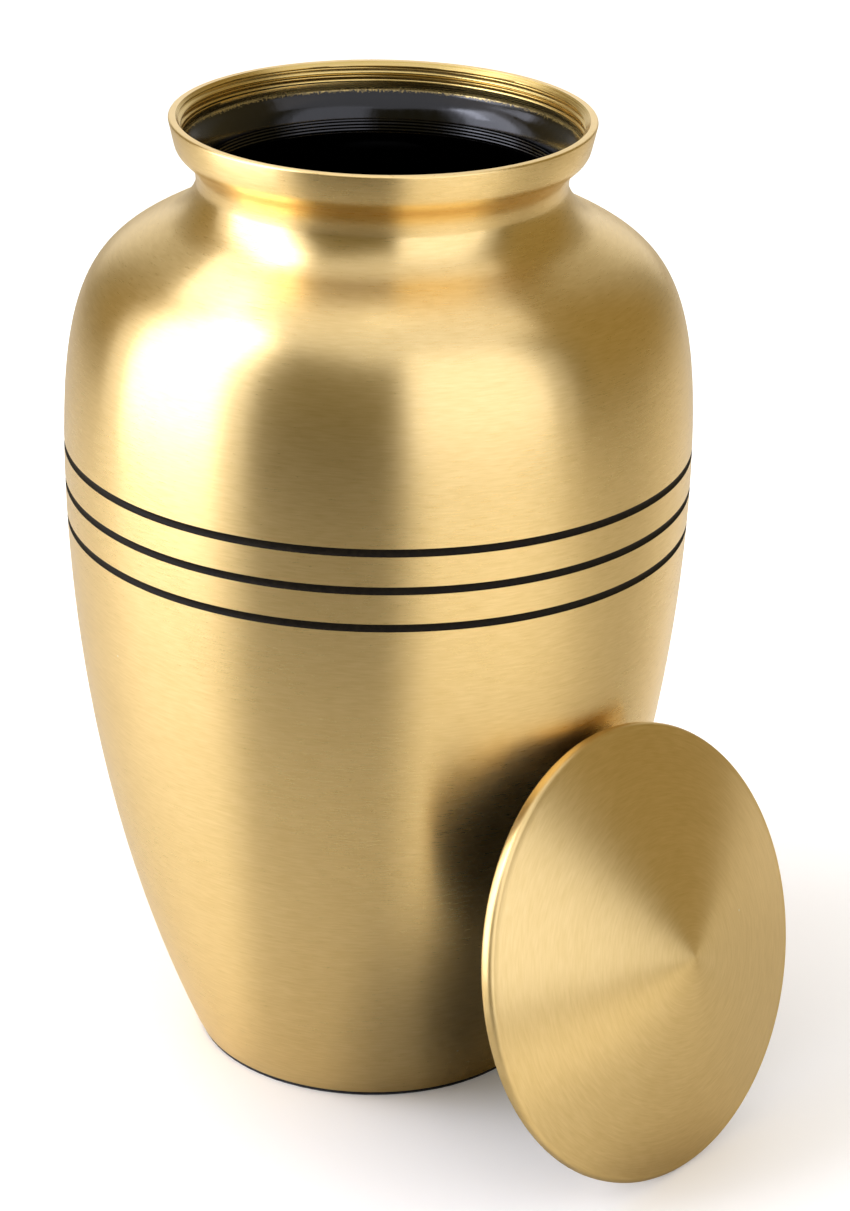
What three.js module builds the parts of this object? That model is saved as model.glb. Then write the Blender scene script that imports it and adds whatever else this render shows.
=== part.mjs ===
// Cremation urn in satin brass: a hollow body with a threaded mouth, a screw lid, and a felt pad
// under the foot. The lid is off: it stands on its edge and leans against the body, on the +X side.
// Millimetres, +Z up. The origin is the centre of the pad's underside.
import * as THREE from "three";

// Facets round each turned piece, a multiple of four so that one corner is at the lid's lowest point
const SEGMENTS = 44;
// Gap left where two pieces only touch
const TOUCH_GAP = 0.3;

// Felt pad, glued under the foot
const PAD_THICKNESS = 1.0;
const PAD_INSET = 0.5;

// Body outline: heights are over the floor, depths are below the rim
const RIM_HEIGHT = 245;
const FOOT_RADIUS = 45.4;
const FOOT_FLARE = 24;
const BELLY_RADIUS = 78;
const BELLY_HEIGHT = 162;
const SHOULDER_RADIUS = 52.9;
const SHOULDER_DEPTH = 25.9;
const SHOULDER_SLOPE = 28.3;
const NECK_RADIUS = 45.2;
const NECK_DEPTH = 16.3;
const LIP_HEIGHT = 6.1;
const LIP_FLARE = 1.25;
const LIP_ROUND = 0.5;
const BODY_WALL = 1.5;
const BODY_FLOOR = 2.5;

// How far each curve of the outline holds its end directions, as shares of the stretch it spans
const TAPER_HOLD = [0.38, 0.28];
const SHOULDER_HOLD = [0.82, 0.34];
const NECK_HOLD = [0.56, 0.14];
const FLARE_HOLD = [0.7, 0.4];

// Engraved lines round the belly, counted down from the top one
const GROOVE_COUNT = 3;
const GROOVE_SPACING = 9.5;
const GROOVE_WIDTH = 2.0;
const GROOVE_DEPTH = 0.6;
const TOP_GROOVE_RISE = 1.0;

// Mouth: a flat rim, a bevel, a right-hand thread and a plain band below it
const BORE_RADIUS = 48.55;
const RIM_FLAT = 1.3;
const RIM_BEVEL = 0.35;
const THREAD_PITCH = 2.12;
const THREAD_DEPTH = 1.1;
const THREAD_START = 0.26;
const THREAD_END = 5.1;
const THREAD_FADE = 0.9;
const THREAD_PLAY = 0.25;
const BAND_END = 7.0;

// Lid: a low cone with a rounded edge, and a threaded collar under it
const LID_OVERHANG = 4.4;
const LID_EDGE = 3.9;
const LID_EDGE_ROUND = 1.5;
const LID_RISE = 15.7;
const LID_TIP_SLOPE = 11;
const LID_TIP_ROUND = 5;
const LID_WALL = 1.6;
const COLLAR_LENGTH = 5.4;
const COLLAR_WALL = 1.8;
const COLLAR_BEVEL = 0.6;

// Lean of the lid from upright, and how far round its centre stands from where it faces, in degrees
const LID_LEAN = 15.9;
const LID_BEARING = -3.8;

// Points along each curve in the solids
const TAPER_STEPS = 10;
const SHOULDER_STEPS = 7;
const NECK_STEPS = 4;
const FLARE_STEPS = 4;
const ROUND_STEPS = 2;
const DOME_STEPS = 7;
const THREAD_STEPS_PER_TURN = 5;

// What follows from the sizes above
const GROOVE_ROOT_RADIUS = BORE_RADIUS + THREAD_DEPTH;
const RIM_INNER_RADIUS = GROOVE_ROOT_RADIUS + RIM_BEVEL;
const LIP_RADIUS = RIM_INNER_RADIUS + RIM_FLAT + LIP_ROUND;
const LID_RADIUS = LIP_RADIUS + LID_OVERHANG;
const DOME_RADIUS = LID_RADIUS - LID_EDGE_ROUND;
const FLOOR_TOP = PAD_THICKNESS + BODY_FLOOR;

const radians = THREE.MathUtils.degToRad;

const brass = new THREE.MeshStandardMaterial({ color: 0xd8ae62, roughness: 0.32, metalness: 1 });
const felt = new THREE.MeshStandardMaterial({ color: 0x0d0d0e, roughness: 0.95, metalness: 0 });

// Solid of revolution about Z. Each profile point is [radius, height]; a radius may be a function of
// the angle about the axis, as a thread's is.
function turned(profile) {
  const radiusAt = (radius, angle) => (typeof radius === "function" ? radius(angle) : radius);
  const section = profile.map(([radius, height]) => new THREE.Vector2(radiusAt(radius, 0), height));
  const geometry = new THREE.LatheGeometry(section, SEGMENTS).rotateX(Math.PI / 2);
  const place = geometry.attributes.position;
  for (let i = 0; i < place.count; i += 1) {
    const [radius] = profile[i % profile.length];
    if (typeof radius !== "function") continue;
    const angle = Math.atan2(place.getY(i), place.getX(i));
    const length = radiusAt(radius, angle);
    place.setXY(i, length * Math.cos(angle), length * Math.sin(angle));
  }
  geometry.computeVertexNormals();
  return geometry;
}

function piece(name, profile, material) {
  const mesh = new THREE.Mesh(turned(profile), material);
  mesh.name = name;
  return mesh;
}

// Curve between two points that leaves and arrives along given directions
function blend(from, fromWay, to, toWay, [leaveHold, arriveHold]) {
  const span = new THREE.Vector2().subVectors(to, from);
  const reach = (way, hold) => hold * (way.x * span.x + way.y * span.y);
  return new THREE.CubicBezierCurve(
    from,
    from.clone().addScaledVector(fromWay, reach(fromWay, leaveHold)),
    to.clone().addScaledVector(toWay, -reach(toWay, arriveHold)),
    to,
  );
}

// The body's smooth outline from foot to lip, as curves going up
function bodyCurves() {
  const up = new THREE.Vector2(0, 1);
  const flare = new THREE.Vector2(Math.sin(radians(FOOT_FLARE)), Math.cos(radians(FOOT_FLARE)));
  const inward = new THREE.Vector2(-Math.cos(radians(SHOULDER_SLOPE)), Math.sin(radians(SHOULDER_SLOPE)));
  const lipWay = new THREE.Vector2(LIP_FLARE, LIP_HEIGHT).normalize();
  const foot = new THREE.Vector2(FOOT_RADIUS, PAD_THICKNESS);
  const belly = new THREE.Vector2(BELLY_RADIUS, BELLY_HEIGHT);
  const shoulder = new THREE.Vector2(SHOULDER_RADIUS, RIM_HEIGHT - SHOULDER_DEPTH);
  const neck = new THREE.Vector2(NECK_RADIUS, RIM_HEIGHT - NECK_DEPTH);
  const lip = new THREE.Vector2(LIP_RADIUS - LIP_FLARE, RIM_HEIGHT - LIP_HEIGHT);
  return [
    { curve: blend(foot, flare, belly, up, TAPER_HOLD), steps: TAPER_STEPS },
    { curve: blend(belly, up, shoulder, inward, SHOULDER_HOLD), steps: SHOULDER_STEPS },
    { curve: blend(shoulder, inward, neck, up, NECK_HOLD), steps: NECK_STEPS },
    { curve: blend(neck, up, lip, lipWay, FLARE_HOLD), steps: FLARE_STEPS },
  ];
}

// Points along the outline, moved into the metal by inset, measured square to the surface
function outline(inset) {
  const points = [];
  for (const { curve, steps } of bodyCurves()) {
    for (let i = points.length ? 1 : 0; i <= steps; i += 1) {
      const point = curve.getPoint(i / steps);
      const way = curve.getTangent(i / steps);
      points.push([point.x - way.y * inset, point.y + way.x * inset]);
    }
  }
  return points;
}

// Radius of a rising outline at a height, or nothing above or below it
function radiusAtHeight(points, height) {
  for (let i = 1; i < points.length; i += 1) {
    const [lowRadius, low] = points[i - 1];
    const [highRadius, high] = points[i];
    if (height < low || height > high) continue;
    return lowRadius + ((highRadius - lowRadius) * (height - low)) / (high - low);
  }
  return undefined;
}

// Replaces the outline at each engraved line by the line's flat-bottomed section
function engraved(points) {
  const smooth = (height, depth) => [radiusAtHeight(points, height) - depth, height];
  const half = GROOVE_WIDTH / 2;
  let cut = points;
  for (let i = 0; i < GROOVE_COUNT; i += 1) {
    const centre = BELLY_HEIGHT + TOP_GROOVE_RISE - i * GROOVE_SPACING;
    const section = [
      smooth(centre - half, 0),
      smooth(centre - half / 2, GROOVE_DEPTH),
      smooth(centre + half / 2, GROOVE_DEPTH),
      smooth(centre + half, 0),
    ];
    const below = cut.filter(([, height]) => height < centre - half);
    const above = cut.filter(([, height]) => height > centre + half);
    cut = [...below, ...section, ...above];
  }
  return cut;
}

// Radius of the thread's groove at a depth below the rim and an angle, fading out at its lower end
function threadRadius(depth, angle) {
  const turns = (depth - THREAD_START) / THREAD_PITCH + angle / (2 * Math.PI);
  const fade = THREE.MathUtils.clamp((THREAD_END - depth) / THREAD_FADE, 0, 1);
  return BORE_RADIUS + THREAD_DEPTH * fade * (0.5 + 0.5 * Math.cos(2 * Math.PI * turns));
}

// Depths of the rows of points that carry the thread
function threadDepths(from, to) {
  const rows = Math.ceil(((to - from) / THREAD_PITCH) * THREAD_STEPS_PER_TURN);
  return Array.from({ length: rows + 1 }, (_, i) => from + ((to - from) * i) / rows);
}

// Quarter round from one direction to the next, as points about a centre
function rounding(centreRadius, centreHeight, size, fromDegrees, toDegrees) {
  return Array.from({ length: ROUND_STEPS + 1 }, (_, i) => {
    const angle = radians(fromDegrees + ((toDegrees - fromDegrees) * i) / ROUND_STEPS);
    return [centreRadius + size * Math.cos(angle), centreHeight + size * Math.sin(angle)];
  });
}

// The mouth from the outside of the lip over the rim and down past the thread
function mouthProfile() {
  const bevelRadius = (depth) => Math.max(BORE_RADIUS, RIM_INNER_RADIUS - depth);
  const rows = threadDepths(RIM_BEVEL, THREAD_END).map((depth) => [
    (angle) => Math.max(bevelRadius(depth), threadRadius(depth, angle)),
    RIM_HEIGHT - depth,
  ]);
  return [
    ...rounding(LIP_RADIUS - LIP_ROUND, RIM_HEIGHT - LIP_ROUND, LIP_ROUND, 0, 90),
    [RIM_INNER_RADIUS, RIM_HEIGHT],
    ...rows,
    [BORE_RADIUS, RIM_HEIGHT - BAND_END],
  ];
}

// The body's section: up the outside, over the mouth, down the inside of the wall and along the floor
function bodyProfile() {
  const lining = outline(BODY_WALL);
  const belowNeck = (height) => height < RIM_HEIGHT - NECK_DEPTH;
  const belowBand = (radius, height) => height < RIM_HEIGHT - BAND_END && radius < BORE_RADIUS;
  const shown = lining.filter(
    ([radius, height]) => height > FLOOR_TOP && (belowNeck(height) || belowBand(radius, height)),
  );
  return [
    [0, PAD_THICKNESS],
    ...engraved(outline(0)),
    ...mouthProfile(),
    ...shown.reverse(),
    [radiusAtHeight(lining, FLOOR_TOP), FLOOR_TOP],
    [0, FLOOR_TOP],
  ];
}

function padProfile() {
  const radius = FOOT_RADIUS - PAD_INSET;
  return [
    [0, 0],
    [radius, 0],
    [radius, PAD_THICKNESS],
    [0, PAD_THICKNESS],
  ];
}

// Height of the lid's outer face over its seat: a cone that steepens outwards, with a softened tip
function domeHeight(radius) {
  const slope = Math.tan(radians(LID_TIP_SLOPE));
  const fall = (r) => slope * (Math.hypot(r, LID_TIP_ROUND) - LID_TIP_ROUND);
  const steepening = (LID_RISE - fall(DOME_RADIUS)) / DOME_RADIUS ** 2;
  return LID_EDGE + LID_RISE - fall(radius) - steepening * radius ** 2;
}

// The lid in its own frame: its seat at height 0, its tip up and its collar below
function lidProfile() {
  const rootRadius = BORE_RADIUS - THREAD_PLAY;
  const collarInner = rootRadius - COLLAR_WALL;
  const dome = (outerRadius, drop) =>
    Array.from({ length: DOME_STEPS }, (_, i) => {
      const radius = (outerRadius * i) / (DOME_STEPS - 1);
      return [radius, domeHeight(radius) - drop];
    });
  const rows = threadDepths(COLLAR_BEVEL, COLLAR_LENGTH - COLLAR_BEVEL).map((depth) => [
    (angle) => threadRadius(depth, angle) - THREAD_PLAY,
    -depth,
  ]);
  return [
    ...dome(collarInner, LID_WALL),
    [collarInner, -COLLAR_LENGTH],
    [rootRadius, -COLLAR_LENGTH],
    ...rows.reverse(),
    [rootRadius, 0],
    ...rounding(DOME_RADIUS, LID_EDGE_ROUND, LID_EDGE_ROUND, -90, 0),
    ...rounding(DOME_RADIUS, LID_EDGE - LID_EDGE_ROUND, LID_EDGE_ROUND, 0, 90),
    ...dome(DOME_RADIUS, 0).reverse().slice(1),
  ];
}

// Stands the lid on the floor at its lean, and slides it up to the body until they nearly touch
function leanAgainstBody(lid) {
  lid.rotation.y = Math.PI / 2 - radians(LID_LEAN);
  lid.updateMatrix();
  const corners = [];
  const place = lid.geometry.attributes.position;
  for (let i = 0; i < place.count; i += 1) {
    corners.push(new THREE.Vector3().fromBufferAttribute(place, i).applyMatrix4(lid.matrix));
  }
  const rise = -Math.min(...corners.map((corner) => corner.z));
  const body = outline(0).concat([[LIP_RADIUS, RIM_HEIGHT]]);
  const bearing = new THREE.Vector2(Math.cos(radians(LID_BEARING)), Math.sin(radians(LID_BEARING)));
  const beside = corners
    .map((corner) => ({ x: corner.x, y: corner.y, body: radiusAtHeight(body, corner.z + rise) }))
    .filter((corner) => corner.body !== undefined);
  const gapAt = (distance) =>
    Math.min(
      ...beside.map(
        (corner) =>
          Math.hypot(corner.x + distance * bearing.x, corner.y + distance * bearing.y) - corner.body,
      ),
    );
  let near = 0;
  let far = 2 * (BELLY_RADIUS + LID_RADIUS);
  while (far - near > 0.001) {
    const middle = (near + far) / 2;
    if (gapAt(middle) < TOUCH_GAP) near = middle;
    else far = middle;
  }
  lid.position.set(far * bearing.x, far * bearing.y, rise);
}

const urn = new THREE.Group();
const body = piece("urn_body", bodyProfile(), brass);
const pad = piece("felt_base_pad", padProfile(), felt);
const lid = piece("lid", lidProfile(), brass);
leanAgainstBody(lid);
urn.add(body, pad, lid);

export default urn;
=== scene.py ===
import math

import bmesh
import bpy
from mathutils import Euler, Matrix, Vector, noise
from mathutils.geometry import interpolate_bezier


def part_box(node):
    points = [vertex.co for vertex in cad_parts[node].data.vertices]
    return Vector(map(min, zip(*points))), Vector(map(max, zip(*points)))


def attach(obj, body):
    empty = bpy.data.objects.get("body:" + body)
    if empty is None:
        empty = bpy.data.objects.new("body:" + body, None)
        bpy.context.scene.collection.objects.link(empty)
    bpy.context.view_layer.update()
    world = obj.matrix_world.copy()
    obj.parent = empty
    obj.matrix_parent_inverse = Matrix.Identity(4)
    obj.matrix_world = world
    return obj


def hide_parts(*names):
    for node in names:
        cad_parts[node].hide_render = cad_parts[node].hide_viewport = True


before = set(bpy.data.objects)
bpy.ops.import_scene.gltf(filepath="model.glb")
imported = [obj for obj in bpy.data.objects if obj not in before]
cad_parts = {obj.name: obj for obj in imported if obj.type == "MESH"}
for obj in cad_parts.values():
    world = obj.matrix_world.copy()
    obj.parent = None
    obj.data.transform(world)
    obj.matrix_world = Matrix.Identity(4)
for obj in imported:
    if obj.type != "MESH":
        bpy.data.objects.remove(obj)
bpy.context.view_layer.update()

MM = 0.001

# Body outline: heights are over the floor, depths are below the rim
PAD_THICKNESS = 1.0
PAD_INSET = 0.5
PAD_EDGE_ROUND = 0.2
PAD_RINGS = (0.25, 1.2)
PAD_WORN_WIDTH = 0.3
PAD_WEAR = 0.16
PAD_WEAR_SCALES = (1.3, 4.1)
RIM_HEIGHT = 245
FOOT_RADIUS = 45.4
FOOT_FLARE = 24
FOOT_ROUND = 0.45
BELLY_RADIUS = 78
BELLY_HEIGHT = 162
SHOULDER_RADIUS = 52.9
SHOULDER_DEPTH = 25.9
SHOULDER_SLOPE = 28.3
NECK_RADIUS = 45.2
NECK_DEPTH = 16.3
LIP_HEIGHT = 6.1
LIP_FLARE = 1.25
LIP_ROUND = 0.5
BODY_WALL = 1.5
FLOOR_TOP = 3.5
FLOOR_CORNER_RISE = 0.5
FLOOR_CORNER_WIDTH = 1.0
LINING_GAP = 0.2
TAPER_HOLD = (0.38, 0.28)
SHOULDER_HOLD = (0.82, 0.34)
NECK_HOLD = (0.56, 0.14)
FLARE_HOLD = (0.7, 0.4)

# Engraved lines round the belly, counted down from the top one
GROOVE_COUNT = 3
GROOVE_SPACING = 9.5
GROOVE_WIDTH = 2.0
GROOVE_DEPTH = 0.6
TOP_GROOVE_RISE = 1.0

# Mouth: a flat rim, a bevel, a right-hand thread, a plain band, then the lacquered inside
BORE_RADIUS = 48.55
RIM_FLAT = 1.3
RIM_BEVEL = 0.35
THREAD_PITCH = 2.12
THREAD_DEPTH = 1.1
THREAD_START = 0.26
THREAD_END = 5.1
THREAD_FADE = 0.9
THREAD_PLAY = 0.25
BAND_END = 7.0
RIDGE_TOP = 13.4
RIDGE_END = 17.4
RIDGE_PITCH = 0.8
RIDGE_HEIGHT = 0.07
RIDGE_STEPS = 8

# Lid: a low cone with a rounded edge, and a threaded collar under it
LID_OVERHANG = 4.4
LID_EDGE = 3.9
LID_EDGE_ROUND = 1.5
LID_RISE = 15.7
LID_TIP_SLOPE = 11
LID_TIP_ROUND = 5
LID_WALL = 1.6
COLLAR_LENGTH = 5.4
COLLAR_WALL = 1.8
COLLAR_BEVEL = 0.6
COLLAR_FILLET = 0.7
COLLAR_LIP = 0.3
LID_LEAN = 15.9

# What follows from the sizes above
RIM_INNER_RADIUS = BORE_RADIUS + THREAD_DEPTH + RIM_BEVEL
LIP_RADIUS = RIM_INNER_RADIUS + RIM_FLAT + LIP_ROUND
LID_RADIUS = LIP_RADIUS + LID_OVERHANG
DOME_RADIUS = LID_RADIUS - LID_EDGE_ROUND

# Fineness of the turned pieces
ROUND_STEPS = 256
CURVE_STEPS = (54, 40, 20, 16)
LINING_STEPS = (20, 24, 16, 12)
GROOVE_STEPS = 12
THREAD_STEPS_PER_TURN = 20
DOME_STEPS = 56
HOLLOW_STEPS = 24
EDGE_STEPS = 7
SHARP_ANGLE = math.radians(32)

# Leeway for picking out points and faces by where they are, and the share of a wall that is its skin
TOUCHING = 1e-3
TINY = 0.01
RING_GAP = 0.05
SLACK = 0.1
SKIN_SHARE = 0.6


# Turned shapes

def along(angle_from_up):
    angle = math.radians(angle_from_up)
    return Vector((math.sin(angle), math.cos(angle)))


def blend_curve(start, start_way, end, end_way, holds, steps):
    span = end - start
    leave = start + start_way * (holds[0] * start_way.dot(span))
    arrive = end - end_way * (holds[1] * end_way.dot(span))
    return interpolate_bezier(start, leave, arrive, end, steps + 1)


def body_outline(steps, inset=0.0):
    """Points up the outside of the body, from foot to lip, moved into the metal by inset."""
    up = Vector((0, 1))
    inward = along(SHOULDER_SLOPE - 90)
    lip_way = Vector((LIP_FLARE, LIP_HEIGHT)).normalized()
    knots = [
        (Vector((FOOT_RADIUS, PAD_THICKNESS)), along(FOOT_FLARE)),
        (Vector((BELLY_RADIUS, BELLY_HEIGHT)), up),
        (Vector((SHOULDER_RADIUS, RIM_HEIGHT - SHOULDER_DEPTH)), inward),
        (Vector((NECK_RADIUS, RIM_HEIGHT - NECK_DEPTH)), up),
        (Vector((LIP_RADIUS - LIP_FLARE, RIM_HEIGHT - LIP_HEIGHT)), lip_way),
    ]
    holds = (TAPER_HOLD, SHOULDER_HOLD, NECK_HOLD, FLARE_HOLD)
    points = []
    for i, hold in enumerate(holds):
        curve = blend_curve(*knots[i], *knots[i + 1], hold, steps[i])
        points += curve[1 if points else 0:]
    if not inset:
        return points
    moved = []
    for i, point in enumerate(points):
        way = points[min(i + 1, len(points) - 1)] - points[max(i - 1, 0)]
        way.normalize()
        moved.append(Vector((point.x - way.y * inset, point.y + way.x * inset)))
    return moved


def radius_at(points, height):
    for low, high in zip(points, points[1:]):
        if low.y <= height <= high.y:
            return low.x + (high.x - low.x) * (height - low.y) / (high.y - low.y)
    return None


def groove_centres():
    return [BELLY_HEIGHT + TOP_GROOVE_RISE - i * GROOVE_SPACING for i in range(GROOVE_COUNT)]


def engraved(points):
    """The outline with each engraved line's rounded section cut into it."""
    half = GROOVE_WIDTH / 2
    cut = list(points)
    for centre in groove_centres():
        section = []
        for i in range(GROOVE_STEPS + 1):
            share = math.sin(math.pi * (i / GROOVE_STEPS - 0.5))
            height = centre + half * share
            depth = GROOVE_DEPTH * math.sqrt(max(0.0, math.cos(math.pi / 2 * share)))
            section.append(Vector((radius_at(points, height) - depth, height)))
        below = [p for p in cut if p.y < centre - half - RING_GAP]
        above = [p for p in cut if p.y > centre + half + RING_GAP]
        cut = below + section + above
    return cut


def rounding(centre, size, from_degrees, to_degrees):
    points = []
    for i in range(EDGE_STEPS + 1):
        angle = math.radians(from_degrees + (to_degrees - from_degrees) * i / EDGE_STEPS)
        points.append(centre + size * Vector((math.cos(angle), math.sin(angle))))
    return points


def thread_radius(depth, angle):
    turns = (depth - THREAD_START) / THREAD_PITCH + angle / (2 * math.pi)
    fade = min(max((THREAD_END - depth) / THREAD_FADE, 0.0), 1.0)
    return BORE_RADIUS + THREAD_DEPTH * fade * (0.5 + 0.5 * math.cos(2 * math.pi * turns))


def thread_depths(start, end):
    rows = math.ceil((end - start) / THREAD_PITCH * THREAD_STEPS_PER_TURN)
    return [start + (end - start) * i / rows for i in range(rows + 1)]


def shade_smooth(bm):
    for face in bm.faces:
        face.smooth = True
    for edge in bm.edges:
        edge.smooth = edge.calc_face_angle(0) < SHARP_ANGLE


def turned_mesh(profile, reshape):
    """Spins a profile of (radius, height) points round Z, closed at the axis, then cuts its thread."""
    bm = bmesh.new()
    verts = [bm.verts.new((point.x, 0, point.y)) for point in profile]
    edges = [bm.edges.new(pair) for pair in zip(verts, verts[1:])]
    bmesh.ops.spin(
        bm, geom=verts + edges, cent=(0, 0, 0), axis=(0, 0, 1),
        angle=2 * math.pi, steps=ROUND_STEPS, use_merge=True,
    )
    bmesh.ops.remove_doubles(bm, verts=bm.verts, dist=1e-4)
    for vert in bm.verts:
        reshape(vert)
    bmesh.ops.recalc_face_normals(bm, faces=bm.faces)
    shade_smooth(bm)
    return bm


def finish_piece(name, bm, materials, node, place=None):
    """Scales the mesh to metres, sets it in its place, and hands it over to the frame."""
    bmesh.ops.transform(bm, matrix=Matrix.Diagonal((MM, MM, MM, 1)), verts=bm.verts)
    if place:
        bmesh.ops.transform(bm, matrix=place, verts=bm.verts)
    mesh = bpy.data.meshes.new(name)
    bm.to_mesh(mesh)
    bm.free()
    piece = bpy.data.objects.new(name, mesh)
    for material in materials:
        mesh.materials.append(material)
    bpy.context.scene.collection.objects.link(piece)
    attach(piece, "root")
    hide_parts(node)
    return piece


# Nodes

def feed(tree, node, inputs):
    for key, value in inputs.items():
        if isinstance(value, bpy.types.NodeSocket):
            tree.links.new(value, node.inputs[key])
        else:
            node.inputs[key].default_value = value


def add_node(tree, kind, inputs=None, **settings):
    made = tree.nodes.new("ShaderNode" + kind)
    for key, value in settings.items():
        setattr(made, key, value)
    feed(tree, made, inputs or {})
    return made


def ramp(tree, value, stops):
    made = add_node(tree, "ValToRGB", {"Fac": value})
    band = made.color_ramp
    while len(band.elements) < len(stops):
        band.elements.new(0.5)
    for element, (position, color) in zip(band.elements, stops):
        element.position = position
        element.color = (*color, 1)
    return made.outputs["Color"]


def grey_ramp(tree, value, low, high):
    return ramp(tree, value, [(0.3, (low, low, low)), (0.7, (high, high, high))])


def maths(tree, operation, first, second):
    return add_node(tree, "Math", {0: first, 1: second}, operation=operation).outputs["Value"]


def vector_maths(tree, operation, first, second=(0, 0, 0), output="Vector"):
    made = add_node(tree, "VectorMath", {0: first, 1: second}, operation=operation)
    return made.outputs[output]


def noise_of(tree, vector, scale, detail, roughness=0.5, distortion=0.0):
    inputs = {"Vector": vector, "Scale": scale, "Detail": detail, "Roughness": roughness}
    inputs["Distortion"] = distortion
    return add_node(tree, "TexNoise", inputs).outputs["Fac"]


def bump_normal(tree, height, strength, depth):
    inputs = {"Height": height, "Strength": strength, "Distance": depth * MM}
    return add_node(tree, "Bump", inputs).outputs["Normal"]


def spread(tree, value, low, high, to_low=0.0, to_high=1.0):
    inputs = {"Value": value, "From Min": low, "From Max": high, "To Min": to_low, "To Max": to_high}
    return add_node(tree, "MapRange", inputs).outputs["Result"]


def mix_color(tree, factor, first, second, blend_type="MIX"):
    inputs = {"Factor": factor, "A": first, "B": second}
    made = add_node(tree, "Mix", inputs, data_type="RGBA", blend_type=blend_type)
    return made.outputs["Result"]


def mix_value(tree, factor, first, second):
    inputs = {"Factor": factor, "A": first, "B": second}
    return add_node(tree, "Mix", inputs, data_type="FLOAT").outputs["Result"]


def new_group(name, inputs, outputs):
    group = bpy.data.node_groups.new(name, "ShaderNodeTree")
    for label, kind, value in inputs:
        socket = group.interface.new_socket(label, in_out="INPUT", socket_type=kind)
        if value is not None:
            socket.default_value = value
    for label, kind in outputs:
        group.interface.new_socket(label, in_out="OUTPUT", socket_type=kind)
    source = group.nodes.new("NodeGroupInput")
    result = group.nodes.new("NodeGroupOutput")
    return group, source.outputs, result


def place_group(tree, group, inputs):
    made = tree.nodes.new("ShaderNodeGroup")
    made.node_tree = group
    feed(tree, made, inputs)
    return made.outputs


# LEVEL flattens a direction onto the floor; the scales draw out strokes and bands from the finest lines
LEVEL = (1, 1, 0)
STROKE_SCALE = (0.8, 0.8, 0.4)
BAND_SCALE = (1, 1, 0.09)
SPECK_SHARE = 0.28


def turned_grain_group():
    """Lines left by the satin wheel, round the Z axis of the vector given to it: the finest lines,
    the longer strokes among them, and broad bands where the wheel bore harder."""
    group, given, result = new_group(
        "Turned grain",
        [
            ("Vector", "NodeSocketVector", None),
            ("Lines up", "NodeSocketFloat", 3000.0),
            ("Lines out", "NodeSocketFloat", 0.0),
            ("Line breaks", "NodeSocketFloat", 60.0),
        ],
        [("Lines", "NodeSocketFloat"), ("Bands", "NodeSocketFloat"), ("Strokes", "NodeSocketFloat")],
    )
    split = add_node(group, "SeparateXYZ", {"Vector": given["Vector"]})
    flat = vector_maths(group, "MULTIPLY", given["Vector"], LEVEL)
    out = vector_maths(group, "LENGTH", flat, output="Value")
    up_lines = maths(group, "MULTIPLY", split.outputs["Z"], given["Lines up"])
    out_lines = maths(group, "MULTIPLY", out, given["Lines out"])
    across = maths(group, "ADD", up_lines, out_lines)
    x_breaks = maths(group, "MULTIPLY", split.outputs["X"], given["Line breaks"])
    y_breaks = maths(group, "MULTIPLY", split.outputs["Y"], given["Line breaks"])
    fine = add_node(group, "CombineXYZ", {"X": x_breaks, "Y": y_breaks, "Z": across}).outputs["Vector"]
    lines = noise_of(group, fine, 1.0, 3.0, roughness=0.62)
    strokes = noise_of(group, vector_maths(group, "MULTIPLY", fine, STROKE_SCALE), 1.0, 1.0)
    bands = noise_of(group, vector_maths(group, "MULTIPLY", fine, BAND_SCALE), 0.35, 2.0)
    group.links.new(lines, result.inputs["Lines"])
    group.links.new(strokes, result.inputs["Strokes"])
    group.links.new(bands, result.inputs["Bands"])
    return group


def handling_group():
    """Faint smears from hands and cloths, and a few pin-head specks."""
    group, given, result = new_group(
        "Handling marks",
        [
            ("Vector", "NodeSocketVector", None),
            ("Smear scale", "NodeSocketFloat", 18.0),
            ("Speck scale", "NodeSocketFloat", 60.0),
            ("Speck size", "NodeSocketFloat", 0.02),
        ],
        [("Smears", "NodeSocketFloat"), ("Specks", "NodeSocketFloat")],
    )
    smears = noise_of(group, given["Vector"], given["Smear scale"], 4.0, distortion=0.6)
    cells = add_node(
        group, "TexVoronoi", {"Vector": given["Vector"], "Scale": given["Speck scale"]}, feature="F1"
    )
    dots = maths(group, "LESS_THAN", cells.outputs["Distance"], given["Speck size"])
    chosen = add_node(group, "SeparateColor", {"Color": cells.outputs["Color"]})
    rare = maths(group, "GREATER_THAN", chosen.outputs["Red"], 1 - SPECK_SHARE)
    specks = maths(group, "MULTIPLY", dots, rare)
    group.links.new(smears, result.inputs["Smears"])
    group.links.new(specks, result.inputs["Specks"])
    return group


TURNED_GRAIN = turned_grain_group()
HANDLING = handling_group()

# Finishes: stretch is how far the lines of turning draw out the reflections, lines_up and lines_out
# how close the lines lie along the axis and away from it, breaks how short they are
BRASS_LIGHT = (0.915, 0.685, 0.31)
BRASS_DARK = (0.815, 0.592, 0.243)
SPECK_COLOR = (0.95, 0.9, 0.75, 1)
BODY_FINISH = {"roughness": 0.29, "stretch": 0.81, "lines_up": 4800.0, "lines_out": 0.0}
LID_FINISH = {"roughness": 0.36, "stretch": 0.7, "lines_up": 0.0, "lines_out": 4500.0}
WHEEL_BREAKS = 260.0
CUTTER_BREAKS = 35.0
MOUTH_LIGHT = (0.82, 0.62, 0.24)
MOUTH_DARK = (0.62, 0.44, 0.14)
MOUTH_LINES = {"Lines up": 4200.0, "Lines out": 2400.0, "Line breaks": CUTTER_BREAKS}
LACQUER_SOFT_EDGE = 0.5
LACQUER_RAGGED_EDGE = 0.4
LACQUER_WANDER = 0.2
LACQUER_RUNS = (1.0, 1.0, 0.09)
LINT_COLOR = (0.09, 0.09, 0.09, 1)
TANGENT_TURN = 0.25

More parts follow.
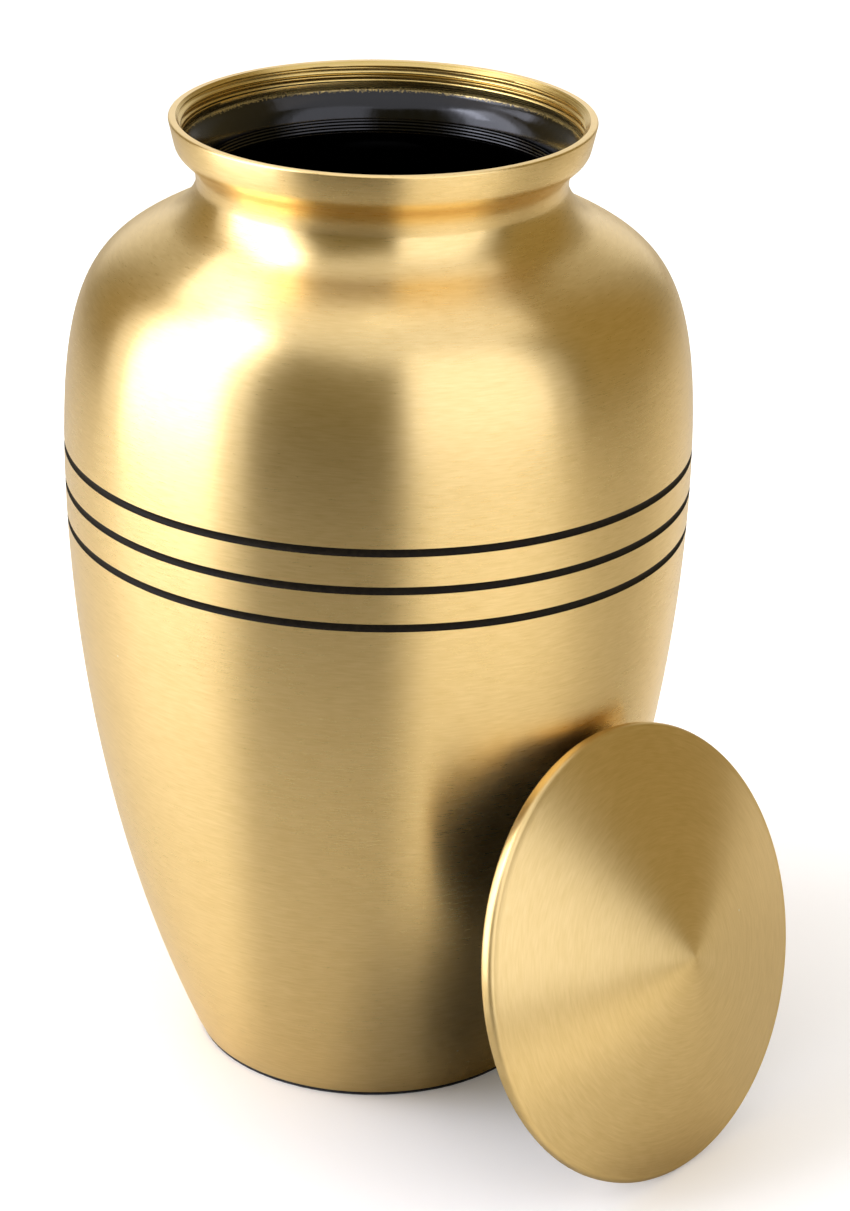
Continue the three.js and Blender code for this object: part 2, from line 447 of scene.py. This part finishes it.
# Places in the list of materials of the body and of the lid, after the outer brass
FILLING, INSIDE = 1, 2
UNDERSIDE = 1


def new_material(name):
    material = bpy.data.materials.new(name)
    material.use_nodes = True
    tree = material.node_tree
    tree.nodes.clear()
    shader = add_node(tree, "BsdfPrincipled")
    output = tree.nodes.new("ShaderNodeOutputMaterial")
    tree.links.new(shader.outputs["BSDF"], output.inputs["Surface"])
    place = add_node(tree, "TexCoord").outputs["Object"]
    return material, tree, shader, place


def brass_material(name, centre, turn, roughness, stretch, lines_up, lines_out):
    """Brass finished on a satin wheel, its lines running round the axis given by centre and turn."""
    material, tree, shader, place = new_material(name)
    own = add_node(
        tree, "Mapping", {"Vector": place, "Location": centre, "Rotation": turn}, vector_type="TEXTURE"
    ).outputs["Vector"]
    grain = place_group(
        tree, TURNED_GRAIN,
        {"Vector": own, "Lines up": lines_up, "Lines out": lines_out, "Line breaks": WHEEL_BREAKS},
    )
    marks = place_group(tree, HANDLING, {"Vector": own})
    worn = maths(tree, "ADD", grain["Bands"], marks["Smears"])
    tone = maths(tree, "ADD", grain["Lines"], maths(tree, "MULTIPLY", worn, 0.35))
    tone = maths(tree, "ADD", tone, grain["Strokes"])
    tone = spread(tree, tone, 0.95, 1.75)
    color = ramp(tree, tone, [(0.0, BRASS_DARK), (1.0, BRASS_LIGHT)])
    color = mix_color(tree, maths(tree, "MULTIPLY", marks["Specks"], 0.7), color, SPECK_COLOR)
    rough = spread(tree, grain["Lines"], 0.25, 0.75, roughness - 0.03, roughness + 0.03)
    rough = maths(tree, "ADD", rough, spread(tree, marks["Smears"], 0.3, 0.7, -0.012, 0.018))
    axis = Euler(turn).to_matrix() @ Vector((0, 0, 1))
    offset = vector_maths(tree, "SUBTRACT", place, centre)
    turned_way = vector_maths(tree, "NORMALIZE", vector_maths(tree, "CROSS_PRODUCT", axis, offset))
    feed(tree, shader, {
        "Base Color": color,
        "Metallic": 1.0,
        "Roughness": rough,
        "Normal": bump_normal(tree, grain["Strokes"], 0.3, 0.02),
        "Tangent": turned_way,
        "Anisotropic": stretch,
        "Anisotropic Rotation": TANGENT_TURN,
    })
    return material


def mouth_material(name):
    """Bare turned brass in the mouth, running out into the black lacquer that coats the inside."""
    material, tree, shader, place = new_material(name)
    grain = place_group(tree, TURNED_GRAIN, {"Vector": place, **MOUTH_LINES})
    height = add_node(tree, "SeparateXYZ", {"Vector": place}).outputs["Z"]
    ragged = LACQUER_RAGGED_EDGE * MM
    wander = LACQUER_WANDER * MM
    shift = maths(
        tree, "ADD",
        spread(tree, noise_of(tree, place, 2200.0, 3.0), 0.3, 0.7, -ragged, ragged),
        spread(tree, noise_of(tree, place, 45.0, 2.0), 0.3, 0.7, -wander, wander),
    )
    lacquer_top = (RIM_HEIGHT - BAND_END) * MM
    soft = LACQUER_SOFT_EDGE * MM
    lacquer = spread(tree, maths(tree, "ADD", height, shift), lacquer_top + soft, lacquer_top - soft)
    brass = ramp(tree, grain["Lines"], [(0.3, MOUTH_DARK), (0.7, MOUTH_LIGHT)])
    peel = noise_of(tree, vector_maths(tree, "MULTIPLY", place, LACQUER_RUNS), 620.0, 2.0)
    color = mix_color(tree, lacquer, brass, grey_ramp(tree, peel, 0.0002, 0.0006))
    brass_rough = spread(tree, grain["Lines"], 0.25, 0.75, 0.2, 0.32)
    lacquer_rough = spread(tree, peel, 0.3, 0.7, 0.12, 0.2)
    rough = mix_value(tree, lacquer, brass_rough, lacquer_rough)
    peel_height = maths(tree, "MULTIPLY", maths(tree, "MULTIPLY", peel, lacquer), 0.5)
    both_heights = maths(tree, "ADD", peel_height, maths(tree, "MULTIPLY", grain["Lines"], 0.2))
    feed(tree, shader, {
        "Base Color": color,
        "Metallic": maths(tree, "SUBTRACT", 1.0, lacquer),
        "Roughness": rough,
        "Normal": bump_normal(tree, both_heights, 0.3, 0.08),
        "Specular IOR Level": 0.5,
    })
    return material


def lacquer_material(name):
    """The black lacquer again, on the lid's underside."""
    material, tree, shader, place = new_material(name)
    peel = noise_of(tree, place, 420.0, 2.0)
    color = grey_ramp(tree, peel, 0.0006, 0.0014)
    rough = spread(tree, peel, 0.3, 0.7, 0.14, 0.2)
    feed(tree, shader, {
        "Base Color": color,
        "Roughness": rough,
        "Normal": bump_normal(tree, peel, 0.3, 0.04),
        "Specular IOR Level": 0.36,
    })
    return material


def enamel_material(name):
    """Black filling wiped into the engraved lines, with a slightly uneven skin."""
    material, tree, shader, place = new_material(name)
    skin = noise_of(tree, place, 700.0, 3.0)
    color = ramp(tree, skin, [(0.3, (0.006, 0.004, 0.002)), (0.75, (0.017, 0.012, 0.005))])
    rough = spread(tree, skin, 0.3, 0.7, 0.45, 0.6)
    feed(tree, shader, {
        "Base Color": color,
        "Roughness": rough,
        "Normal": bump_normal(tree, skin, 0.4, 0.05),
        "Specular IOR Level": 0.12,
    })
    return material


def felt_material(name):
    """Pressed black felt: matted fibres, with a little lint."""
    material, tree, shader, place = new_material(name)
    fibres = noise_of(tree, place, 1400.0, 5.0, distortion=1.6)
    clumps = noise_of(tree, place, 160.0, 3.0)
    both = maths(tree, "MULTIPLY", fibres, clumps)
    color = ramp(tree, both, [(0.12, (0.004, 0.004, 0.0045)), (0.42, (0.022, 0.022, 0.024))])
    lint = maths(tree, "GREATER_THAN", fibres, 0.71)
    color = mix_color(tree, maths(tree, "MULTIPLY", lint, 0.5), color, LINT_COLOR)
    rough = spread(tree, clumps, 0.3, 0.7, 0.88, 1.0)
    feed(tree, shader, {
        "Base Color": color,
        "Roughness": rough,
        "Normal": bump_normal(tree, both, 0.8, 0.4),
        "Sheen Weight": 0.3,
        "Sheen Roughness": 0.5,
    })
    return material


# Urn body

def body_profile():
    foot = Vector((FOOT_RADIUS, PAD_THICKNESS))
    outside = engraved(body_outline(CURVE_STEPS))
    outside = [p for p in outside if p.y > PAD_THICKNESS + FOOT_ROUND]
    foot_edge = rounding(foot + Vector((-FOOT_ROUND, FOOT_ROUND)), FOOT_ROUND, -90, -10)
    rim_edge = rounding(Vector((LIP_RADIUS - LIP_ROUND, RIM_HEIGHT - LIP_ROUND)), LIP_ROUND, 0, 90)
    thread = [Vector((BORE_RADIUS, RIM_HEIGHT - d)) for d in thread_depths(RIM_BEVEL, THREAD_END)]
    band = [Vector((BORE_RADIUS, RIM_HEIGHT - d)) for d in ((THREAD_END + BAND_END) / 2, BAND_END)]
    lining = body_outline(LINING_STEPS, BODY_WALL)
    below_band = RIM_HEIGHT - BAND_END - LINING_GAP
    neck_height = RIM_HEIGHT - NECK_DEPTH
    corner_height = FLOOR_TOP + FLOOR_CORNER_RISE
    inside = [
        p for p in lining
        if corner_height < p.y < below_band and (p.y < neck_height or p.x < BORE_RADIUS)
    ]
    inside.reverse()
    inside = ridged(inside)
    corner_radius = radius_at(lining, corner_height)
    floor = [
        Vector((corner_radius, corner_height)),
        Vector((corner_radius - FLOOR_CORNER_WIDTH, FLOOR_TOP)),
        Vector((0, FLOOR_TOP)),
    ]
    return (
        [Vector((0, PAD_THICKNESS))] + foot_edge + outside + rim_edge
        + [Vector((RIM_INNER_RADIUS, RIM_HEIGHT))] + thread + band + inside + floor
    )


def ridged(points):
    """Adds the fine tooling ridges left round the narrowest part of the neck's inside."""
    top, end = RIM_HEIGHT - RIDGE_TOP, RIM_HEIGHT - RIDGE_END
    above = [p for p in points if p.y > top]
    below = [p for p in points if p.y < end]
    rising = list(reversed(points))
    steps = round((top - end) / RIDGE_PITCH * RIDGE_STEPS)
    ridges = []
    for i in range(steps + 1):
        height = top + (end - top) * i / steps
        wave = math.cos(2 * math.pi * (height - top) / RIDGE_PITCH)
        fade = math.sin(math.pi * i / steps) ** 0.5
        ridges.append(Vector((radius_at(rising, height) + RIDGE_HEIGHT * wave * fade, height)))
    return above + ridges + below


def cut_mouth_thread(vert):
    depth = RIM_HEIGHT - vert.co.z
    radius = math.hypot(vert.co.x, vert.co.y)
    if not RIM_BEVEL - TINY < depth < THREAD_END + TINY or radius > BORE_RADIUS + SLACK:
        return
    angle = math.atan2(vert.co.y, vert.co.x)
    bevel_radius = max(BORE_RADIUS, RIM_INNER_RADIUS - depth)
    wanted = max(bevel_radius, thread_radius(depth, angle))
    vert.co.x *= wanted / radius
    vert.co.y *= wanted / radius


def build_body():
    bm = turned_mesh(body_profile(), cut_mouth_thread)
    outside = body_outline(CURVE_STEPS)
    half = GROOVE_WIDTH / 2
    for face in bm.faces:
        centre = face.calc_center_median()
        radius = math.hypot(centre.x, centre.y)
        in_groove = any(abs(centre.z - c) < half for c in groove_centres())
        skin = radius_at(outside, centre.z)
        if in_groove and radius > skin - GROOVE_DEPTH - SLACK:
            face.material_index = FILLING
        elif centre.z > RIM_HEIGHT - LIP_HEIGHT and radius < RIM_INNER_RADIUS:
            face.material_index = INSIDE
        elif skin and radius < skin - SKIN_SHARE * BODY_WALL and centre.z > FLOOR_TOP - SLACK:
            face.material_index = INSIDE
    upright = (0, 0, 0)
    materials = [
        brass_material("satin brass", upright, upright, **BODY_FINISH),
        enamel_material("black line filling"),
        mouth_material("threaded mouth and lacquer"),
    ]
    return finish_piece("urn_body_brass", bm, materials, "urn_body")


# Felt pad

def build_pad():
    bm = bmesh.new()
    radius = FOOT_RADIUS - PAD_INSET
    bmesh.ops.create_circle(bm, cap_ends=True, cap_tris=False, segments=ROUND_STEPS, radius=radius)
    raised = bmesh.ops.extrude_face_region(bm, geom=bm.faces[:], use_keep_orig=True)
    top_verts = [e for e in raised["geom"] if isinstance(e, bmesh.types.BMVert)]
    bmesh.ops.translate(bm, vec=(0, 0, PAD_THICKNESS), verts=top_verts)
    bmesh.ops.recalc_face_normals(bm, faces=bm.faces)
    caps = [f for f in bm.faces if len(f.verts) > 4]
    for ring in PAD_RINGS:
        bmesh.ops.inset_region(bm, faces=caps, thickness=ring, use_even_offset=True)
    rim = [edge for edge in bm.edges if runs_round_rim(edge, radius)]
    bmesh.ops.bevel(
        bm, geom=rim, offset=PAD_EDGE_ROUND, segments=3, profile=0.5, affect="EDGES", material=-1,
        clamp_overlap=True,
    )
    for vert in bm.verts:
        if math.hypot(vert.co.x, vert.co.y) > radius - PAD_WORN_WIDTH:
            broad, fine = (noise.noise(vert.co * scale) for scale in PAD_WEAR_SCALES)
            wear = broad * 0.5 + fine * 0.5
            shrink = 1 - (PAD_WEAR * (0.5 + wear)) / radius
            vert.co.x *= shrink
            vert.co.y *= shrink
    shade_smooth(bm)
    return finish_piece("felt_pad", bm, [felt_material("black felt")], "felt_base_pad")


def runs_round_rim(edge, radius):
    start, end = (vert.co for vert in edge.verts)
    on_rim = all(abs(math.hypot(co.x, co.y) - radius) < TOUCHING for co in (start, end))
    return on_rim and abs(start.z - end.z) < TOUCHING


# Lid

def dome_height(radius):
    slope = math.tan(math.radians(LID_TIP_SLOPE))

    def fall(r):
        return slope * (math.hypot(r, LID_TIP_ROUND) - LID_TIP_ROUND)

    steepening = (LID_RISE - fall(DOME_RADIUS)) / DOME_RADIUS ** 2
    return LID_EDGE + LID_RISE - fall(radius) - steepening * radius ** 2


def lid_profile():
    root_radius = BORE_RADIUS - THREAD_PLAY
    collar_inner = root_radius - COLLAR_WALL
    underside = [collar_inner * i / HOLLOW_STEPS for i in range(HOLLOW_STEPS)]
    hollow = [Vector((r, dome_height(r) - LID_WALL)) for r in underside]
    hollow += [Vector((collar_inner, dome_height(collar_inner) - LID_WALL - COLLAR_FILLET))]
    depths = thread_depths(COLLAR_BEVEL, COLLAR_LENGTH - COLLAR_BEVEL)
    thread = [Vector((root_radius, -d)) for d in reversed(depths)]
    rings = [DOME_RADIUS * i / DOME_STEPS for i in range(DOME_STEPS + 1)]
    dome = [Vector((r, dome_height(r))) for r in reversed(rings)]
    low_edge = rounding(Vector((DOME_RADIUS, LID_EDGE_ROUND)), LID_EDGE_ROUND, -90, 0)
    high_edge = rounding(Vector((DOME_RADIUS, LID_EDGE - LID_EDGE_ROUND)), LID_EDGE_ROUND, 0, 90)
    return (
        hollow
        + [Vector((collar_inner, COLLAR_LIP - COLLAR_LENGTH))]
        + [Vector((collar_inner + COLLAR_LIP, -COLLAR_LENGTH))]
        + [Vector((root_radius, -COLLAR_LENGTH))] + thread + [Vector((root_radius, 0))]
        + low_edge + high_edge + dome[1:]
    )


def cut_collar_thread(vert):
    depth = -vert.co.z
    radius = math.hypot(vert.co.x, vert.co.y)
    on_thread = abs(radius - BORE_RADIUS + THREAD_PLAY) < RING_GAP
    if on_thread and COLLAR_BEVEL - TINY < depth < COLLAR_LENGTH - COLLAR_BEVEL + TINY:
        wanted = thread_radius(depth, math.atan2(vert.co.y, vert.co.x)) - THREAD_PLAY
        vert.co.x *= wanted / radius
        vert.co.y *= wanted / radius


def build_lid():
    bm = turned_mesh(lid_profile(), cut_collar_thread)
    turn = Euler((0, math.pi / 2 - math.radians(LID_LEAN), 0))
    for face in bm.faces:
        centre = face.calc_center_median()
        radius = math.hypot(centre.x, centre.y)
        within_seat = radius < BORE_RADIUS + THREAD_DEPTH
        if within_seat and centre.z < dome_height(radius) - SKIN_SHARE * LID_WALL:
            face.material_index = UNDERSIDE
    leaning = turn.to_matrix().to_4x4()
    spots = [leaning @ vert.co for vert in bm.verts]
    low = Vector([min(spot[i] for spot in spots) for i in range(3)])
    high = Vector([max(spot[i] for spot in spots) for i in range(3)])
    cad_low, cad_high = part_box("lid")
    centre = (cad_low + cad_high) / 2 - (low + high) / 2 * MM
    centre.z = cad_low.z - low.z * MM
    materials = [
        brass_material("satin brass lid", centre, turn, **LID_FINISH),
        lacquer_material("lacquered underside"),
    ]
    in_place = Matrix.Translation(centre) @ leaning
    return finish_piece("lid_brass", bm, materials, "lid", in_place)


build_body()
build_pad()
build_lid()


# Floor, light and camera: angles are from the camera's side, positive to the right of the picture

CAMERA_BEARING = math.radians(-48.31)
CAMERA_PLACE = (0.58993, -0.66235, 0.49558)
CAMERA_TURN = (66.8773, -1.0753, 41.3470)
SENSOR_WIDTH = 36
FOCAL_LENGTH = 112.94
ROOM = (0.188, 0.158, 0.082)
ROOM_STOPS = [
    (0.0, (1.0, 0.98, 0.95)),
    (0.03, (0.85, 0.83, 0.80)),
    (0.075, (0.34, 0.30, 0.22)),
    (0.18, (0.31, 0.235, 0.10)),
    (0.5, (0.32, 0.25, 0.115)),
    (0.62, ROOM),
    (1.0, ROOM),
]
SOFTBOX_WHITE = (0.96, 1.0, 1.2)
FLOOR_SIZE = 6
FLOOR_DARK = (0.90, 0.88, 0.83)
FLOOR_LIGHT = (0.92, 0.90, 0.85)
FRONT_OFFSET = -18.5
# Painted light on the floor as the brass mirrors it, brighter to the sides than in front
SIDE_PAINTED_LIGHT_STOPS = [
    (0.0, (0.82, 0.82, 0.82)),
    (0.25, (0.85, 0.85, 0.85)),
    (0.5, (0.9, 0.9, 0.9)),
    (0.87, (1.15, 1.15, 1.15)),
    (0.95, (1.0, 1.0, 1.0)),
    (1.0, (0.75, 0.73, 0.68)),
]
# Warm tint on the floor's painted light and shade, seen only in reflections
WARMTH = (1.0, 0.975, 0.9, 1)
# Centres of painted shade on the floor under and beside the lid, seen only in reflections
UNDER_LID_PAINTED_SHADE = (0.075, -0.02, 0)
BESIDE_LID_PAINTED_SHADE = (0.17, -0.01, 0)


def around(offset_degrees, distance, height):
    """A place at an angle from the camera's side."""
    angle = CAMERA_BEARING + math.radians(offset_degrees)
    return Vector((distance * math.cos(angle), distance * math.sin(angle), height))


def level_way(tree, vector):
    flat = vector_maths(tree, "MULTIPLY", vector, LEVEL)
    return flat, vector_maths(tree, "NORMALIZE", flat)


def painted_spot_shade(tree, place, centre, near, far, tone):
    """Painted shade on the floor round a spot, fading out from near to far."""
    distance = vector_maths(tree, "DISTANCE", place, centre, output="Value")
    return spread(tree, distance, near, far, tone, 1.0)


def mirrored_floor_painted_light(tree, place, away, level):
    """Painted light and shade on the floor where the brass mirrors it: painted brighter to the sides,
    painted dimmer in front, and painted shade under and beside the lid.
    """
    rightward = around(90, 1, 0)
    forward = around(FRONT_OFFSET, 1, 0)
    side = vector_maths(tree, "DOT_PRODUCT", level, rightward, output="Value")
    facing = vector_maths(tree, "DOT_PRODUCT", level, forward, output="Value")
    in_front = spread(tree, facing, 0.80, 0.93)
    # Painted shade: the floor is painted dimmer in front, more so further out
    front_painted_shade = spread(tree, away, 0.05, 0.45, 0.62, 0.22)
    side_painted_light = ramp(tree, spread(tree, side, -1.0, 1.0), SIDE_PAINTED_LIGHT_STOPS)
    tone = mix_value(tree, in_front, side_painted_light, front_painted_shade)
    # Painted shade round the lid, where its shadow would fall
    under = painted_spot_shade(tree, place, UNDER_LID_PAINTED_SHADE, 0.015, 0.06, 0.12)
    beside = painted_spot_shade(tree, place, BESIDE_LID_PAINTED_SHADE, 0.03, 0.095, 0.6)
    return tone, maths(tree, "MULTIPLY", under, beside)


def floor_material(name):
    """A pale sweep, seen as near white through a painted glow that fades near the urn into painted
    shade, and mirrored by the brass in painted darker tones of light and shade.
    """
    material, tree, shader, place = new_material(name)
    color = ramp(tree, noise_of(tree, place, 3.0, 2.0), [(0.3, FLOOR_DARK), (0.7, FLOOR_LIGHT)])
    flat, level = level_way(tree, place)
    away = vector_maths(tree, "LENGTH", flat, output="Value")
    tone, painted_shade = mirrored_floor_painted_light(tree, place, away, level)
    # Painted light and shade on the floor, seen only in reflections and bounced light
    mirrored = mix_color(tree, 1.0, color, tone, "MULTIPLY")
    mirrored = mix_color(tree, 1.0, mirrored, painted_shade, "MULTIPLY")
    mirrored = mix_color(tree, 1.0, mirrored, WARMTH, "MULTIPLY")
    seen = add_node(tree, "LightPath").outputs["Is Camera Ray"]
    # Painted glow for the camera only, weaker near the urn, which paints shade round it
    painted_glow = maths(tree, "MULTIPLY", spread(tree, away, 0.05, 0.36, 0.11, 0.62), seen)
    feed(tree, shader, {
        "Base Color": mix_color(tree, seen, mirrored, color),
        "Roughness": 0.7,
        "Emission Color": painted_glow,
        "Emission Strength": 1.0,
    })
    return material


def build_floor():
    bm = bmesh.new()
    bmesh.ops.create_grid(bm, x_segments=1, y_segments=1, size=FLOOR_SIZE)
    mesh = bpy.data.meshes.new("floor")
    bm.to_mesh(mesh)
    bm.free()
    floor = bpy.data.objects.new("floor", mesh)
    bpy.context.scene.collection.objects.link(floor)
    mesh.materials.append(floor_material("pale sweep"))


def softbox(name, place, target, width, height, radiance):
    lamp = bpy.data.lights.new(name, "AREA")
    lamp.shape = "RECTANGLE"
    lamp.size = width
    lamp.size_y = height
    lamp.energy = radiance * math.pi * width * height
    lamp.color = SOFTBOX_WHITE
    holder = bpy.data.objects.new(name, lamp)
    holder.location = place
    holder.rotation_euler = (place - target).to_track_quat("Z", "Y").to_euler()
    holder.visible_camera = False
    bpy.context.scene.collection.objects.link(holder)


def build_lights():
    """Softboxes: a tall key on the left, a wider and weaker fill on the right, and one above."""
    middle = Vector((0, 0, 0.1))
    softbox("key", around(-78, 0.8, 0.72), around(-78, 0, 0.72), 0.62, 1.40, 2.6)
    softbox("key core", around(-72, 0.78, 1.0), around(-72, 0, 0.24), 0.2, 0.5, 4.0)
    softbox("key edge", around(-79, 0.79, 0.72), around(-79, 0, 0.72), 1.04, 1.42, 0.8)
    softbox("key back", around(-138, 0.75, 1.15), middle, 0.55, 0.40, 2.4)
    softbox("fill", around(37, 0.9, 0.78), around(37, 0, 0.78), 0.88, 1.40, 0.85)
    softbox("fill edge", around(40, 0.89, 0.77), around(40, 0, 0.77), 1.16, 1.42, 0.45)
    softbox("top", around(-40, 0.12, 1.2), around(-40, 0.12, 0), 1.36, 1.36, 0.8)


def build_world():
    """A dim warm room on the camera's side, and a white wall behind, seen as plain white."""
    world = bpy.data.worlds.new("studio")
    world.use_nodes = True
    tree = world.node_tree
    tree.nodes.clear()
    way = add_node(tree, "TexCoord").outputs["Generated"]
    ahead = around(0, 1, 0)
    level = level_way(tree, way)[1]
    facing = spread(tree, vector_maths(tree, "DOT_PRODUCT", level, ahead, output="Value"), -1.0, 1.0)
    room = add_node(tree, "Background", {"Color": ramp(tree, facing, ROOM_STOPS), "Strength": 1.0})
    seen = add_node(tree, "Background", {"Color": (1, 1, 1, 1), "Strength": 1.0})
    path = add_node(tree, "LightPath")
    both = add_node(
        tree, "MixShader",
        {0: path.outputs["Is Camera Ray"], 1: room.outputs["Background"], 2: seen.outputs["Background"]},
    )
    output = tree.nodes.new("ShaderNodeOutputWorld")
    tree.links.new(both.outputs["Shader"], output.inputs["Surface"])
    bpy.context.scene.world = world


def build_camera():
    lens = bpy.data.cameras.new("camera")
    lens.sensor_width = SENSOR_WIDTH
    lens.lens = FOCAL_LENGTH
    lens.clip_start = 0.01
    camera = bpy.data.objects.new("camera", lens)
    camera.location = CAMERA_PLACE
    camera.rotation_euler = [math.radians(angle) for angle in CAMERA_TURN]
    bpy.context.scene.collection.objects.link(camera)
    bpy.context.scene.camera = camera


build_floor()
build_lights()
build_world()
build_camera()
bpy.context.scene.view_settings.view_transform = "Standard"
